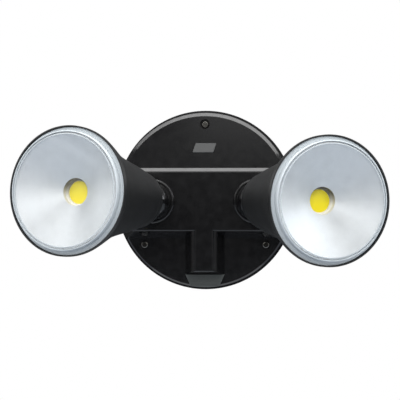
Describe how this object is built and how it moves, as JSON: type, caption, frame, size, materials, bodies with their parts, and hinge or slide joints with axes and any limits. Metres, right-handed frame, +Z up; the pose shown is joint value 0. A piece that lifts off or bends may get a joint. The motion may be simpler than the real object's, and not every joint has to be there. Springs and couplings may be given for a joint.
{
  "type": "twin head floodlight",
  "caption": "Wall floodlight with a round base and bell-shaped LED heads on swivelling, tilting knuckles.",
  "frame": {"origin": "middle of the back plate's rear face, on the wall", "axes": "+Y into the wall, +Z up, +X to the right of someone facing the light"},
  "size_m": [0.2797, 0.1916, 0.15],
  "materials": {
    "gloss_black": "moulded, glossy",
    "satin_black": "moulded, satin",
    "knuckle_black": "moulded, glossy",
    "plate_black": "moulded, matte",
    "nut_black": "moulded, matte",
    "foam": "closed-cell foam",
    "black_rubber": "smooth",
    "steel": "zinc plated",
    "badge_grey": "bare, matte",
    "port_grey": "ribbed, matte",
    "driver_white": "moulded",
    "circuit_green": "coated board",
    "core_dark": "wound core",
    "capacitor_sleeve": "shrunk sleeve",
    "terminal_white": "moulded",
    "brass": "plain",
    "cast_aluminium": "as cast",
    "board_white": "white solder mask",
    "phosphor": "cured phosphor",
    "reflector_silver": "satin metallised",
    "white_silicone": "smooth",
    "clear_lens": "clear polycarbonate",
    "frosted_ring": "moulded, frosted",
    "lead_sleeve": "sleeved"
  },
  "bodies": {
    "base": {"base_cover": "gloss_black", "back_plate": "plate_black", "wall_gasket": "foam", "entry_grommet": "black_rubber", "cover_screws": "steel", "badge_plate": "badge_grey", "port_cover": "port_grey", "driver_tray": "driver_white", "driver_lid": "driver_white", "driver_board": "circuit_green", "driver_transformer": "core_dark", "driver_capacitors": "capacitor_sleeve", "driver_screws": "steel", "terminal_block": "terminal_white", "terminal_screws": "brass", "left_driver_lead": "lead_sleeve", "right_driver_lead": "lead_sleeve"},
    "left_swivel": {"left_knuckle": "knuckle_black", "left_knuckle_seal": "black_rubber", "left_knuckle_washer": "steel", "left_knuckle_nut": "nut_black"},
    "left_head": {"left_tilt_screws": "steel", "left_head_shell": "satin_black", "left_heat_sink": "cast_aluminium", "left_sink_screws": "steel", "left_led_board": "board_white", "left_led_emitter": "phosphor", "left_board_screws": "steel", "left_reflector": "reflector_silver", "left_lens_gasket": "white_silicone", "left_lens_ring": "frosted_ring", "left_lens_cover": "clear_lens", "left_lead_gland": "black_rubber", "left_head_lead": "lead_sleeve"},
    "right_swivel": {"right_knuckle": "knuckle_black", "right_knuckle_seal": "black_rubber", "right_knuckle_washer": "steel", "right_knuckle_nut": "nut_black"},
    "right_head": {"right_tilt_screws": "steel", "right_head_shell": "satin_black", "right_heat_sink": "cast_aluminium", "right_sink_screws": "steel", "right_led_board": "board_white", "right_led_emitter": "phosphor", "right_board_screws": "steel", "right_reflector": "reflector_silver", "right_lens_gasket": "white_silicone", "right_lens_ring": "frosted_ring", "right_lens_cover": "clear_lens", "right_lead_gland": "black_rubber", "right_head_lead": "lead_sleeve"}
  },
  "joints": [
    {"name": "left_swivel_turn", "type": "hinge", "parent": "base", "child": "left_swivel", "pos_m": [-0.0425, -0.0435, -0.001], "axis": [0, 1, 0], "range_deg": [-68.7, 51.3]},
    {"name": "left_head_tilt", "type": "hinge", "parent": "left_swivel", "child": "left_head", "pos_m": [-0.0425, -0.0435, -0.001], "axis": [-0.1513, 0, -0.9885], "range_deg": [-13.6, 38.4]},
    {"name": "right_swivel_turn", "type": "hinge", "parent": "base", "child": "right_swivel", "pos_m": [0.0425, -0.0435, -0.001], "axis": [0, -1, 0], "range_deg": [-60.4, 59.6]},
    {"name": "right_head_tilt", "type": "hinge", "parent": "right_swivel", "child": "right_head", "pos_m": [0.0425, -0.0435, -0.001], "axis": [-0.007, 0, 1], "range_deg": [-16, 36]}
  ]
}
